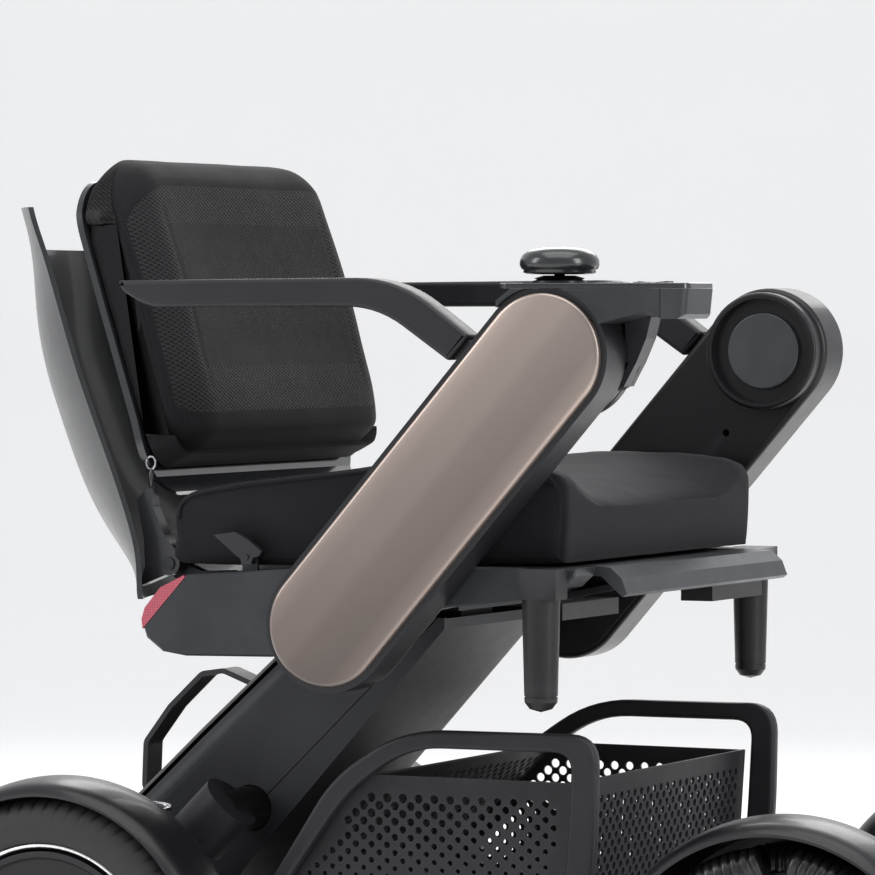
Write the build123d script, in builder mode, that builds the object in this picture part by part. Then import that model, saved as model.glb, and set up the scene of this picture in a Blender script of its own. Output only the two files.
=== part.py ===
from build123d import *
import math
import os

# Power wheelchair.  Millimetres, +X forward, +Y to the rider's left, +Z up.
# The origin is on the floor, at the middle of the overall footprint.
# Stations (x, z) are written from the rear axle's vertical line and the floor;
# X0 is how far the origin lies ahead of that line.

# ---- driving dimensions -------------------------------------------------
X0 = 345.7                      # origin ahead of the rear axle
REAR_R = 132.5                  # rear tyre radius
FRONT_R = 125.0                 # front omni wheel radius
WHEELBASE = 598.7
LIP_Y = 272.0                   # outer lip of the wheel arches
ARCH_IN = 197.0                 # inner wall of the wheel arches
ARCH_REAR = (-8.0, 188.0)       # arc the rear arch covers, from straight ahead
ARCH_FRONT = (-4.0, 184.0)
PIVOT = (130.0, 108.0)          # swing arm pivot
POD_LO = (233.3, 401.3)         # arm pod, pivot end
POD_HI = (410.9, 605.3)         # arm pod, controller end
POD_R = 51.0                    # pod housing
COVER_R = 46.4                  # pod cover
POD_IN, POD_OUT = 206.0, 251.0  # pod inner and outer faces
COL_HALF = 97.0                 # column half width
SEAT_HALF = 205.0               # outer face of the seat side rails
CUSHION_HALF = 190.0
BACK_HINGE = (66.0, 442.0)
STICK = (410.7, 216.0, 640.0)   # joystick pivot: station, outboard, height
FOOT_HINGE = (655.0, 62.0)
FOOT_TIP = 838.0
BAT_ORIGIN = (-22.0, 248.0)     # a point of the column's back line
BAT_U = (0.7360, 0.6770)        # up the back line
BAT_N = (-0.6770, 0.7360)       # out of the back line

os.makedirs("parts", exist_ok=True)


def side(y):
    """Upright plane y mm right of the middle; sketches are (station, height)."""
    return Plane(origin=(-X0, -y, 0), x_dir=(1, 0, 0), z_dir=(0, -1, 0))


def axle(x, z):
    """Plane through a wheel axis; sketches are (outboard distance, radius)."""
    return Plane(origin=(x - X0, 0, z), x_dir=(0, -1, 0), z_dir=(-1, 0, 0))


def spin(x, z):
    return Axis((x - X0, 0, z), (0, -1, 0))


def bat(u, n):
    """Point u up the column's back line and n out of it."""
    return (BAT_ORIGIN[0] + u * BAT_U[0] + n * BAT_N[0],
            BAT_ORIGIN[1] + u * BAT_U[1] + n * BAT_N[1])


def save(part, name):
    part.part.label = name
    export_step(part.part, "parts/%s.step" % name)


# =========================================================================
# Rear drive wheels
# =========================================================================
with BuildPart() as rear_tyre_right:
    with BuildSketch(axle(0, REAR_R)) as s:
        with BuildLine():
            Polyline((214, 96), (262, 96), (268, 108), (266.5, 121), (258, 130.5), (250, REAR_R),
                     (226, REAR_R), (218, 130.5), (209.5, 121), (208, 108), close=True)
        make_face()
        fillet(s.vertices().filter_by(lambda v: v.distance_to(Vertex(-X0, 0, REAR_R)) > 200), 3)
    revolve(axis=spin(0, REAR_R))

with BuildPart() as rear_rim_right:
    with BuildSketch(axle(0, REAR_R)):
        with BuildLine():
            Polyline((212, 10.05), (212, 26), (244, 30), (248, 82), (214, 88), (214, 96), (262, 96),
                     (262.5, 93), (257, 90), (256, 0), (251, 0), (251, 10.05), close=True)
        make_face()
    revolve(axis=spin(0, REAR_R))

with BuildPart() as rear_hub_cap_right:
    with BuildSketch(axle(0, REAR_R)):
        with BuildLine():
            Polyline((256.3, 0), (257.5, 88.5), (264.5, 90.5), (264.5, 86), (262, 84), (261.2, 0),
                     close=True)
        make_face()
    revolve(axis=spin(0, REAR_R))

with BuildPart() as motor_right:
    with BuildSketch(axle(0, REAR_R)):
        with BuildLine():
            Polyline((118, 0), (118, 38), (124, 44), (148, 44), (148, 50), (206, 50), (206, 24), (209, 24),
                     (209, 10), (250.6, 10), (250.6, 0), close=True)
        make_face()
    revolve(axis=spin(0, REAR_R))

with BuildPart() as swing_arm_right:
    with BuildSketch(side(150)):
        with BuildLine():
            Polyline((0, 98), (PIVOT[0], PIVOT[1] - 20), (PIVOT[0], PIVOT[1] + 20), (46, 168), (0, 168), close=True)
        make_face()
        with Locations((0, REAR_R)):
            Circle(57)
        with Locations(PIVOT):
            Circle(20)
        with Locations((0, REAR_R)):
            Circle(50, mode=Mode.SUBTRACT)
        with Locations(PIVOT):
            Circle(8.05, mode=Mode.SUBTRACT)
    extrude(amount=34)
    # lower spring seat
    with BuildSketch(Plane(origin=(33 - X0, -150, 185.5), x_dir=(0, 1, 0), z_dir=(0.707, 0, 0.707))):
        Circle(17)
    extrude(amount=-14)
    with BuildSketch(side(120)):
        with Locations((0, REAR_R)):
            Circle(50)
    extrude(amount=80, mode=Mode.SUBTRACT)


def arch_plane(x, z, deg):
    """Plane through the axle whose radius points deg above straight ahead."""
    a = math.radians(deg)
    return Plane(origin=(x - X0, 0, z), x_dir=(0, -1, 0), z_dir=(-math.sin(a), 0, math.cos(a)))


with BuildSketch() as arch_profile:
    with BuildLine():
        Spline((272, 135.4), (266, 140.6), (254, 144.2), (232, 146.6), (212, 144.2), (197, 134))
        Line((197, 134), (197, 50.05))
        Line((197, 50.05), (200, 50.05))
        Line((200, 50.05), (200, 132.5))
        Spline((200, 132.5), (213, 141.2), (232, 143.4), (253, 141), (264.5, 137.4), (270, 132.9))
        Line((270, 132.9), (272, 135.4))
    make_face()


with BuildPart() as rear_arch_right:
    with BuildSketch(arch_plane(0, REAR_R, ARCH_REAR[0])):
        add(arch_profile.sketch)
    revolve(axis=Axis((-X0, 0, REAR_R), (0, -1, 0)), revolution_arc=ARCH_REAR[1] - ARCH_REAR[0])

# coil spring between the column and the swing arm
SPRING_LO = (36.0, 188.5)
SPRING_HI = (84.0, 236.5)
SPRING_LEN = math.dist(SPRING_LO, SPRING_HI)
with BuildPart() as spring_right:
    with BuildLine(Plane(origin=(SPRING_LO[0] - X0 + 2.4, -150, SPRING_LO[1] + 2.4), x_dir=(0, 1, 0),
                         z_dir=(0.70711, 0, 0.70711))) as coil:
        Helix(pitch=8.2, height=SPRING_LEN - 5.5, radius=11)
    with BuildSketch(Plane(origin=coil.edges()[0] @ 0, z_dir=coil.edges()[0] % 0)):
        Circle(1.7)
    sweep(is_frenet=True)

with BuildPart() as rear_tyre_left:
    mirror(rear_tyre_right.part, about=Plane.XZ)
with BuildPart() as rear_rim_left:
    mirror(rear_rim_right.part, about=Plane.XZ)
with BuildPart() as rear_hub_cap_left:
    mirror(rear_hub_cap_right.part, about=Plane.XZ)
with BuildPart() as motor_left:
    mirror(motor_right.part, about=Plane.XZ)
with BuildPart() as swing_arm_left:
    mirror(swing_arm_right.part, about=Plane.XZ)
with BuildPart() as rear_arch_left:
    mirror(rear_arch_right.part, about=Plane.XZ)
with BuildPart() as spring_left:
    mirror(spring_right.part, about=Plane.XZ)

# =========================================================================
# Front omni wheels
# =========================================================================
ROLLER_R = 16.5
ROLLER_HALF = 33.0
ROWS = (217.5, 251.5)
with BuildPart() as front_hub_right:
    with BuildSketch(axle(WHEELBASE, FRONT_R)):
        with BuildLine():
            Polyline((203, 8.05), (203, 24), (228, 30), (230, 84), (216, 86), (216, 90), (253, 90), (253, 86),
                     (239, 84), (241, 30), (262, 24), (262, 8.05), close=True)
        make_face()
    revolve(axis=spin(WHEELBASE, FRONT_R))
    with BuildSketch(axle(WHEELBASE, FRONT_R)):
        with BuildLine():
            Polyline((233.7, 88), (233.7, 104), (235.3, 104), (235.3, 88), close=True)
        make_face()
    revolve(axis=spin(WHEELBASE, FRONT_R))

with BuildPart() as roller:
    with BuildSketch(Plane.XZ):
        with BuildLine():
            drop = FRONT_R - math.sqrt(FRONT_R ** 2 - ROLLER_HALF ** 2)
            l1 = ThreePointArc((-ROLLER_HALF, ROLLER_R - drop), (0, ROLLER_R), (ROLLER_HALF, ROLLER_R - drop))
            Polyline((ROLLER_HALF, ROLLER_R - drop), (ROLLER_HALF, 3), (-ROLLER_HALF, 3),
                     (-ROLLER_HALF, ROLLER_R - drop))
        make_face()
    revolve(axis=Axis.X)


def wheel_spots(row, start):
    spots = []
    for i in range(8):
        turn = start + 45.0 * i
        spots.append(Location((WHEELBASE - X0, -row, FRONT_R)) * Location((0, 0, 0), (0, turn, 0))
                     * Location((0, 0, FRONT_R - ROLLER_R)))
    return spots


with BuildPart() as front_rollers_right:
    with Locations(*(wheel_spots(ROWS[0], 0.0) + wheel_spots(ROWS[1], 22.5))):
        add(roller.part)

with BuildPart() as front_axles:
    with BuildSketch(side(0)):
        with Locations((WHEELBASE, FRONT_R)):
            Circle(8)
    extrude(amount=265.6, both=True)
    with BuildSketch(side(0)):
        with Locations((WHEELBASE, FRONT_R)):
            Circle(17)
    extrude(amount=196.5, both=True)
    with BuildSketch(side(262.6)):
        with Locations((WHEELBASE, FRONT_R)):
            Circle(15)
    extrude(amount=3)
    mirror(about=Plane.XZ)

with BuildPart() as front_arch_right:
    with BuildSketch(arch_plane(WHEELBASE, FRONT_R, ARCH_FRONT[0])):
        add(arch_profile.sketch)
        with Locations((198.5, 29.55)):
            Rectangle(3, 43)
    revolve(axis=Axis((WHEELBASE - X0, 0, FRONT_R), (0, -1, 0)), revolution_arc=ARCH_FRONT[1] - ARCH_FRONT[0])

with BuildPart() as front_hub_left:
    mirror(front_hub_right.part, about=Plane.XZ)
with BuildPart() as front_rollers_left:
    mirror(front_rollers_right.part, about=Plane.XZ)
with BuildPart() as front_arch_left:
    mirror(front_arch_right.part, about=Plane.XZ)

# =========================================================================
# Chassis, column and battery
# =========================================================================
with BuildPart() as main_frame:
    with BuildSketch(side(80)):
        with BuildLine():
            Polyline((-30, 92), (WHEELBASE - 18, 92), (WHEELBASE - 18, 128), (-30, 128), close=True)
        make_face()
    extrude(amount=26)
    mirror(about=Plane.XZ)
    # cross members
    with BuildSketch(side(0)):
        with Locations((10, 108), (300, 108), (WHEELBASE - 40, 108)):
            Rectangle(40, 30)
    extrude(amount=80, both=True)
    # upright spine
    with BuildSketch(side(0)):
        with BuildLine():
            Polyline((-8, 118), (14, 118), (90, 224), (236, 382), (246, 393), (246, 404), (196, 404), (60, 250),
                     (-8, 165), close=True)
        make_face()
    extrude(amount=30, both=True)
    # swing arm pivot pins
    with BuildSketch(side(106)):
        with Locations(PIVOT):
            Circle(8)
    extrude(amount=84)
    with BuildSketch(side(-106)):
        with Locations(PIVOT):
            Circle(8)
    extrude(amount=-84)
    # front axle collar
    with BuildSketch(side(0)):
        with Locations((WHEELBASE, FRONT_R - 0)):
            Rectangle(52, 46)
        with Locations((WHEELBASE, FRONT_R)):
            Circle(17.0, mode=Mode.SUBTRACT)
    extrude(amount=106, both=True)

SPRING_TOP = (94.0, 246.5)
with BuildPart() as spring_carriers:
    # tube that crosses the spine, with a bell mouth over each spring
    with BuildSketch(side(29)):
        with Locations(SPRING_TOP):
            Circle(17.5)
    extrude(amount=127)
    with BuildSketch(Plane(origin=(SPRING_TOP[0] - X0 + 10, -150, SPRING_TOP[1] + 10), x_dir=(0, 1, 0),
                           z_dir=(-0.70711, 0, -0.70711))):
        Circle(24)
    extrude(amount=42)
    with BuildSketch(Plane(origin=(SPRING_TOP[0] - X0 - 7.0, -150, SPRING_TOP[1] - 7.0), x_dir=(0, 1, 0),
                           z_dir=(-0.70711, 0, -0.70711))):
        Circle(17)
    extrude(amount=40, mode=Mode.SUBTRACT)
    mirror(about=Plane.XZ)

# column covers: an outer slanted body split along the side seam, hollowed
COLUMN = ((-68, 205), (-76, 186), (-66, 162), (-40, 150), (52, 150), (93.6, 205), (181, 302), (262, 391.5),
          (262, 400), (143, 400), (103, 363), (41, 307), (-22, 248))
SEAM = ((40, 189), (69, 219), (195, 341), (262, 406))
with BuildPart() as column_body:
    with BuildSketch(side(0)):
        with BuildLine():
            Polyline(*COLUMN, close=True)
        make_face()
    extrude(amount=COL_HALF, both=True)
    long_edges = column_body.edges().filter_by(
        lambda e: e.length > 60 and abs((e % 0.5).Y) < 0.1 and e.center().X < 262 - X0 and
        e.center().Z > 160 and e.center().Z < 399)
    back = long_edges.filter_by(lambda e: (e.center().Z - 248) > (e.center().X + X0 + 22) * 0.85)
    fillet(back, 26)
    front = column_body.edges().filter_by(
        lambda e: e.length > 60 and abs((e % 0.5).Y) < 0.1 and 0.3 < (e % 0.5).Z and
        (e.center().Z - 302) < (e.center().X + X0 - 181) * 1.2 - 0 and e.center().Z > 205)
    fillet(front, 16)

with BuildPart() as column_core:
    with BuildSketch(side(0)):
        with BuildLine():
            Polyline((-62, 205), (-69, 187), (-61, 167), (-38, 155.5), (49, 155.5), (88, 207), (176, 305.5),
                     (262.5, 400), (262.5, 401), (146, 401), (148, 396), (106.5, 358), (44.5, 302), (-18, 243.5),
                     close=True)
        make_face()
    extrude(amount=COL_HALF - 5, both=True)

with BuildPart() as column_rear_cover:
    add(column_body.part)
    add(column_core.part, mode=Mode.SUBTRACT)
    # keep what lies behind the seam
    with BuildSketch(side(0)):
        with BuildLine():
            Polyline((39.8, 140), (39.8, 189), (68.8, 219.3), (194.8, 341.3), (263, 407), (320, 420), (320, 140),
                     close=True)
        make_face()
    extrude(amount=130, both=True, mode=Mode.SUBTRACT)
    # battery bay mouth
    with BuildSketch(side(0)):
        with BuildLine():
            Polyline(bat(-24, -12), bat(128, -12), bat(128, 12), bat(-24, 12), close=True)
        make_face()
    extrude(amount=59, both=True, mode=Mode.SUBTRACT)
    # way through for the spine foot and for the spring carrier
    with BuildSketch(side(0)):
        with Locations((24, 150)):
            Rectangle(76, 24)
    extrude(amount=31, both=True, mode=Mode.SUBTRACT)
    with BuildSketch(side(0)):
        with Locations(SPRING_TOP):
            Circle(18.3)
    extrude(amount=130, both=True, mode=Mode.SUBTRACT)

with BuildPart() as column_front_cover:
    add(column_body.part)
    add(column_core.part, mode=Mode.SUBTRACT)
    with BuildSketch(side(0)):
        with BuildLine():
            Polyline((40.2, 140), (40.2, 189), (69.2, 218.7), (195.2, 340.7), (263, 405.8), (263, 450), (-120, 450),
                     (-120, 140), close=True)
        make_face()
    extrude(amount=130, both=True, mode=Mode.SUBTRACT)
    # way through for the spine foot and for the spring carrier
    with BuildSketch(side(0)):
        with Locations((24, 150)):
            Rectangle(76, 24)
    extrude(amount=31, both=True, mode=Mode.SUBTRACT)
    with BuildSketch(side(0)):
        with Locations(SPRING_TOP):
            Circle(18.3)
    extrude(amount=130, both=True, mode=Mode.SUBTRACT)

with BuildPart() as battery_pack:
    with BuildSketch(side(0)):
        with BuildLine():
            Polyline(bat(-20, -46), bat(124, -46), bat(124, -7), bat(126.5, -7), bat(126.5, 1.5), bat(-22.5, 1.5),
                     bat(-22.5, -7), bat(-20, -7), close=True)
        make_face()
    extrude(amount=57.5, both=True)
    fillet(battery_pack.faces().sort_by(Axis((0, 0, 0), (BAT_N[0], 0, BAT_N[1])))[-1].edges(), 1.2)

with BuildPart() as battery_handle:
    with BuildSketch(side(0)):
        with BuildLine() as loop:
            FilletPolyline(bat(-14, 1.7), bat(-14, 18), bat(12, 44), bat(48, 50.5), bat(88, 51), bat(104, 40),
                           bat(117, 14), bat(117, 1.7), radius=9)
            offset(amount=2.1, side=Side.BOTH)
        make_face()
        with BuildLine():
            Polyline(bat(-30, 1.6), bat(130, 1.6), bat(130, -10), bat(-30, -10), close=True)
        make_face(mode=Mode.SUBTRACT)
    extrude(amount=13, both=True)

# =========================================================================
# Basket
# =========================================================================
with BuildPart() as basket_rails:
    with BuildSketch(side(178)):
        with BuildLine() as rail:
            Polyline((150, 190), (162, 217), (209, 282), (262, 315), (300, 322), (407, 320), (431, 307), (427, 217),
                     (411, 140), (396, 140), (404, 217), (409, 290), (400, 306), (298, 308), (266, 300), (222, 272),
                     (176, 208), (164, 186), close=True)
        make_face()
    extrude(amount=12)
    fillet(basket_rails.edges().filter_by(Axis.Y).filter_by(lambda e: e.center().Z > 250), 7)
    mirror(about=Plane.XZ)
    # lower tie that joins the two rails
    with BuildSketch(side(0)):
        with Locations((404, 146)):
            Rectangle(14, 12)
    extrude(amount=182, both=True)

TUB = ((150, 196), (112, 156), (112, 152.5), (392, 152.5), (400, 217), (404.5, 283), (236, 284))
with BuildPart() as basket_tub:
    with BuildSketch(side(0)):
        with BuildLine():
            Polyline(*TUB, close=True)
        make_face()
    extrude(amount=177.5, both=True)
    with BuildSketch(side(0)):
        with BuildLine():
            Polyline((152, 194), (118, 158), (118, 156), (388.5, 156), (396.5, 217), (401.2, 300), (245, 300),
                     (238, 283), close=True)
        make_face()
    extrude(amount=174, both=True, mode=Mode.SUBTRACT)

# =========================================================================
# Footrest
# =========================================================================
with BuildPart() as footrest_stem:
    with BuildSketch(side(0)):
        with BuildLine():
            Polyline((WHEELBASE + 26.2, 140), (WHEELBASE + 26.2, 106), (640, 52), (655, 48), (664, 62), (657, 72),
                     (643, 76), (633, 140), close=True)
        make_face()
        with Locations(FOOT_HINGE):
            Circle(5.05, mode=Mode.SUBTRACT)
    extrude(amount=34, both=True)

with BuildPart() as footplate:
    with BuildSketch(side(0)):
        with BuildLine():
            Polyline((672, 54), (FOOT_TIP - 4, 46), (FOOT_TIP, 50), (FOOT_TIP - 2, 56), (672, 70), close=True)
        make_face()
    extrude(amount=160, both=True)
    # hinge ears each side of the stem
    with BuildSketch(side(34.6)):
        with BuildLine():
            Polyline((646, 62), (655, 52), (676, 54), (676, 70), (655, 72), close=True)
        make_face()
    extrude(amount=12)
    mirror(about=Plane.XZ)
    with BuildSketch(side(0)):
        with Locations(FOOT_HINGE):
            Circle(5)
    extrude(amount=46, both=True)

# =========================================================================
# Seat
# =========================================================================
with BuildPart() as seat_side_rails:
    with BuildSketch(side(167)):
        with BuildLine():
            Polyline((53.5, 400), (58, 386), (72, 375.5), (92, 372.5), (166, 373.5), (230, 398), (309, 414),
                     (378, 422), (408, 431), (418, 440), (420, 446), (339, 445.6), (182, 441.5), (92, 435),
                     (70, 425), (56.5, 409), close=True)
        make_face()
    extrude(amount=SEAT_HALF - 167)
    outer = seat_side_rails.faces().sort_by(Axis.Y)[0]
    chamfer(outer.edges(), 1.5)
    # the rail is open towards the seat
    with BuildSketch(side(160)):
        with BuildLine():
            Polyline((60, 400), (63, 388), (76, 380), (92, 377.5), (164, 378.5), (229, 403), (309, 419), (376, 427),
                     (404, 436), (404, 440), (339, 439), (182, 435), (94, 428.5), (74, 420), (62, 407), close=True)
        make_face()
    extrude(amount=SEAT_HALF - 160 - 6, mode=Mode.SUBTRACT)
    with BuildSketch(side(160)):
        with Locations(POD_LO):
            Circle(17.3)
    extrude(amount=60, mode=Mode.SUBTRACT)
    # rear corner step that seats the reflector
    with BuildSketch(side(SEAT_HALF - 9)):
        with BuildLine():
            Polyline((40, 391.7), (54.7, 391.7), (92, 432.6), (92, 450), (40, 450), close=True)
        make_face()
    extrude(amount=20, mode=Mode.SUBTRACT)
    mirror(about=Plane.XZ)

with BuildPart() as reflectors:
    with BuildSketch(side(SEAT_HALF - 8.8)):
        with BuildLine():
            Polyline((54.6, 392.6), (91.4, 433.1), (90.5, 434.6), (70, 424.8), (56.5, 409), (53.7, 400), close=True)
        make_face()
    extrude(amount=8.4)
    mirror(about=Plane.XZ)

with BuildPart() as seat_plate:
    with BuildSketch(side(0)):
        with BuildLine() as nose:
            Polyline((86, 431), (416, 446.5), (431, 445.5), (440, 437.5), (444.5, 426), (441, 423.5), (433, 430),
                     (424, 438.5), (410, 440), (86, 424.5), close=True)
        make_face()
    extrude(amount=166.6, both=True)
    # top bearer that carries the seat on the spine
    with BuildSketch(side(0)):
        with BuildLine():
            Polyline((150, 404.3), (262, 404.3), (262, 435), (150, 430), close=True)
        make_face()
    extrude(amount=70, both=True)
    # cross bearers towards the side rails
    with BuildSketch(side(70)):
        with Locations((206, 417)):
            Rectangle(90, 20)
    extrude(amount=96.6)
    mirror(about=Plane.XZ)

with BuildPart() as seat_posts:
    with BuildSketch(side(205.2)):
        with Locations((397.5, 434.5)):
            Rectangle(30, 23)
    extrude(amount=21.8)
    with BuildSketch(Plane(origin=(394.5 - X0, -213, 0), x_dir=(1, 0, 0), z_dir=(0, -1, 0))) as s:
        with BuildLine():
            Polyline((0, 424), (14.5, 424), (12.6, 351), (12.0, 351), (12.0, 349.6), (12.6, 349.6), (12.3, 346),
                     (8.5, 341), (0, 338.6), close=True)
        make_face()
    revolve(axis=Axis((394.5 - X0, -213, 0), (0, 0, 1)))
    # bracket arm running in below the seat plate
    with BuildSketch(side(96)):
        with BuildLine():
            Polyline((381, 407), (408, 407), (408, 419.5), (381, 418.5), close=True)
        make_face()
    extrude(amount=108)
    mirror(about=Plane.XZ)

with BuildPart() as seat_cushion:
    with BuildSketch(side(0)):
        with BuildLine():
            Polyline((79, 442.5), (74, 482), (84, 496), (140, 508), (215, 516.5), (275, 524), (350, 523), (397, 517),
                     (405, 505), (403, 450), (398, 447.6), (340, 446.7), (182, 442.6), close=True)
        make_face()
    extrude(amount=CUSHION_HALF, both=True)

# =========================================================================
# Backrest
# =========================================================================
with BuildPart() as back_plate:
    with BuildSketch(side(0)):
        with BuildLine():
            Polyline((-19, 740), (-15.5, 713), (7, 639), (34, 553), (46, 507), (55, 494), (59.5, 497), (51.5, 509),
                     (39.5, 555), (12, 641), (-11, 715), (-14.5, 740), close=True)
        make_face()
    extrude(amount=185, both=True)
    # round its corners, seen from the front
    with BuildSketch(Plane(origin=(-X0, 0, 617), x_dir=(0, 1, 0), z_dir=(1, 0, 0))):
        RectangleRounded(370, 246, 44)
    extrude(amount=200, both=True, mode=Mode.INTERSECT)

with BuildPart() as back_cushion:
    with BuildSketch(side(0)):
        with BuildLine():
            Polyline((-14, 740), (-10.5, 715), (12.5, 641), (40, 555), (54, 516), (60, 520), (80, 530), (96, 548),
                     (92, 575), (70, 655), (42, 735), (30, 753), (6, 758), (-6, 754), close=True)
        make_face()
    extrude(amount=183, both=True)
    with BuildSketch(Plane(origin=(-X0, 0, 628.5), x_dir=(0, 1, 0), z_dir=(1, 0, 0))):
        RectangleRounded(366, 259, 62)
    extrude(amount=200, both=True, mode=Mode.INTERSECT)

SHELL = ((719, -48, 72), (687, -37, 76), (640, -21.5, 92), (590, -5, 101), (550, 10.5, 103), (510, 26.5, 103),
         (475, 39, 95), (450, 45.5, 78), (430, 47, 55), (415, 48, 42))
with BuildPart() as back_shell:
    for z, xe, d in SHELL:
        with BuildSketch(Plane(origin=(-X0, 0, z), x_dir=(1, 0, 0), z_dir=(0, 0, 1))):
            with BuildLine():
                ThreePointArc((xe, -200), (xe - d, 0), (xe, 200))
                Line((xe, 200), (xe + 4.2, 199))
                ThreePointArc((xe + 4.2, 199), (xe - d + 4.2, 0), (xe + 4.2, -199))
                Line((xe + 4.2, -199), (xe, -200))
            make_face()
    loft()
    # push handle cut-out in the top edge
    with BuildSketch(Plane(origin=(-X0, 0, 0), x_dir=(0, 1, 0), z_dir=(1, 0, 0))):
        with BuildLine() as cut:
            FilletPolyline((-158, 740), (-150, 687), (150, 687), (158, 740), radius=22)
            Line((158, 740), (-158, 740))
        make_face()
    extrude(amount=260, both=True, mode=Mode.SUBTRACT)
    # side brackets from the shell to the hinge
    with BuildSketch(side(170)):
        with BuildLine():
            Polyline((40, 424), (60, 432), (75, 440), (75, 449), (62, 464), (52, 486), (49.5, 503), (38, 492),
                     (44, 460), (45, 440), close=True)
        make_face()
        with Locations(BACK_HINGE):
            Circle(9)
            Circle(5.05, mode=Mode.SUBTRACT)
    extrude(amount=12)
    mirror(about=Plane.XZ)

with BuildPart() as back_hinge_brackets:
    with BuildSketch(side(155)):
        with BuildLine():
            Polyline((56, 436), (57, 450), (74, 450), (75, 440.5), (86, 436), (112, 437), (112, 430), (86, 429),
                     (66, 428), close=True)
        make_face()
    extrude(amount=11)
    with BuildSketch(side(155)):
        with Locations(BACK_HINGE):
            Circle(5)
    extrude(amount=29)
    mirror(about=Plane.XZ)

# =========================================================================
# Arm pods (they flip up about their lower end)
# =========================================================================
DX, DZ = POD_HI[0] - POD_LO[0], POD_HI[1] - POD_LO[1]
POD_LEN = math.hypot(DX, DZ)
POD_T = (DX / POD_LEN, DZ / POD_LEN)            # up the pod
POD_N = (-POD_T[1], POD_T[0])                   # out of its rear edge
POD_ANGLE = math.degrees(math.atan2(DZ, DX))
POD_MID = ((POD_LO[0] + POD_HI[0]) / 2, (POD_LO[1] + POD_HI[1]) / 2)


def pod(t, n):
    """Point t along the pod from its pivot and n out of its centreline."""
    return (POD_LO[0] + t * POD_T[0] + n * POD_N[0], POD_LO[1] + t * POD_T[1] + n * POD_N[1])


NECK_T = 228.0                                   # where the armrest neck meets the pod
with BuildPart() as arm_housing_left:
    with BuildSketch(side(-POD_IN)):
        with Locations(Location((POD_MID[0], POD_MID[1], 0), POD_ANGLE)):
            SlotCenterToCenter(POD_LEN, 2 * POD_R)
    extrude(amount=-(POD_OUT - 4.5 - POD_IN))
    fillet(arm_housing_left.faces().sort_by(Axis.Y)[0].edges(), 5)
    # controller socket ring
    with BuildSketch(side(-POD_IN)):
        with Locations(POD_HI):
            Circle(47.5)
    extrude(amount=14)
    fillet(arm_housing_left.faces().sort_by(Axis.Y)[0].edges(), 2.5)
    with BuildSketch(side(-POD_IN + 14)):
        with Locations(POD_HI):
            Circle(42.5)
    extrude(amount=-9, mode=Mode.SUBTRACT)
    # pivot bore and accessory hole
    with BuildSketch(side(-POD_IN + 1)):
        with Locations(POD_LO):
            Circle(9.05)
    extrude(amount=-36, mode=Mode.SUBTRACT)
    with BuildSketch(side(-POD_IN + 1)):
        with Locations((375.6, 538.5)):
            Circle(3)
    extrude(amount=-13, mode=Mode.SUBTRACT)
    # socket for the armrest tube
    with BuildSketch(Plane(origin=(pod(NECK_T, 60)[0] - X0, 233.0, pod(NECK_T, 60)[1]),
                           x_dir=(0, 1, 0), z_dir=(-POD_N[0], 0, -POD_N[1]))):
        Rectangle(14.1, 20.1)
    extrude(amount=62, mode=Mode.SUBTRACT)

with BuildPart() as arm_cover_left:
    with BuildSketch(side(-(POD_OUT - 4.3))):
        with Locations(Location((POD_MID[0], POD_MID[1], 0), POD_ANGLE)):
            SlotCenterToCenter(POD_LEN, 2 * COVER_R)
    extrude(amount=-5.8)
    fillet(arm_cover_left.faces().sort_by(Axis.Y)[-1].edges(), 3)

with BuildPart() as arm_socket_cap:
    with BuildSketch(side(-POD_IN + 5)):
        with Locations(POD_HI):
            Circle(31)
    extrude(amount=4)
    fillet(arm_socket_cap.faces().sort_by(Axis.Y)[0].edges(), 1.5)

with BuildPart() as arm_housing_right:
    mirror(arm_housing_left.part, about=Plane.XZ)
    # pocket under the joystick
    with BuildSketch(Plane(origin=(STICK[0] - X0, -STICK[1], 626), x_dir=(1, 0, 0), z_dir=(0, 0, 1))):
        Circle(17)
    extrude(amount=60, mode=Mode.SUBTRACT)
    with BuildSketch(Plane(origin=(STICK[0] - X0, -225, 654.7), x_dir=(1, 0, 0), z_dir=(0, 0, 1))):
        Rectangle(120, 80)
    extrude(amount=10, mode=Mode.SUBTRACT)
with BuildPart() as arm_cover_right:
    mirror(arm_cover_left.part, about=Plane.XZ)

with BuildPart() as arm_pivot_pins:
    with BuildSketch(side(167)):
        with Locations(POD_LO):
            Circle(9)
    extrude(amount=73)
    with BuildSketch(side(167)):
        with Locations(POD_LO):
            Circle(17)
    extrude(amount=38.5)
    mirror(about=Plane.XZ)

# armrests: bar, neck and tube in one casting with a soft top
with BuildPart() as armrest_left:
    with BuildSketch(side(-219)):
        with BuildLine() as rest:
            Polyline((54, 661.5), (272, 662.8), (286, 660.5), (298, 654.5), pod(NECK_T + 12.5, 60),
                     pod(NECK_T - 12.5, 60), (278, 640.5), (268, 642), (80, 641), (60, 653), close=True)
        make_face()
    extrude(amount=-26)
    fillet(armrest_left.edges().filter_by(Axis.Y).filter_by(lambda e: e.center().X > 270 - X0
                                                           and e.center().Z > 641.2), 5)
    fillet(armrest_left.edges().filter_by(lambda e: abs((e % 0.5).Y) < 0.01 and e.center().Z > 658), 3)

with BuildPart() as armrest_tube_left:
    with BuildSketch(Plane(origin=(pod(NECK_T, 60)[0] - X0, 233.0, pod(NECK_T, 60)[1]),
                           x_dir=(0, 1, 0), z_dir=(-POD_N[0], 0, -POD_N[1]))):
        Rectangle(14, 20)
    extrude(amount=56)

with BuildPart() as armrest_right:
    mirror(armrest_left.part, about=Plane.XZ)
with BuildPart() as armrest_tube_right:
    mirror(armrest_tube_left.part, about=Plane.XZ)

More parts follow.
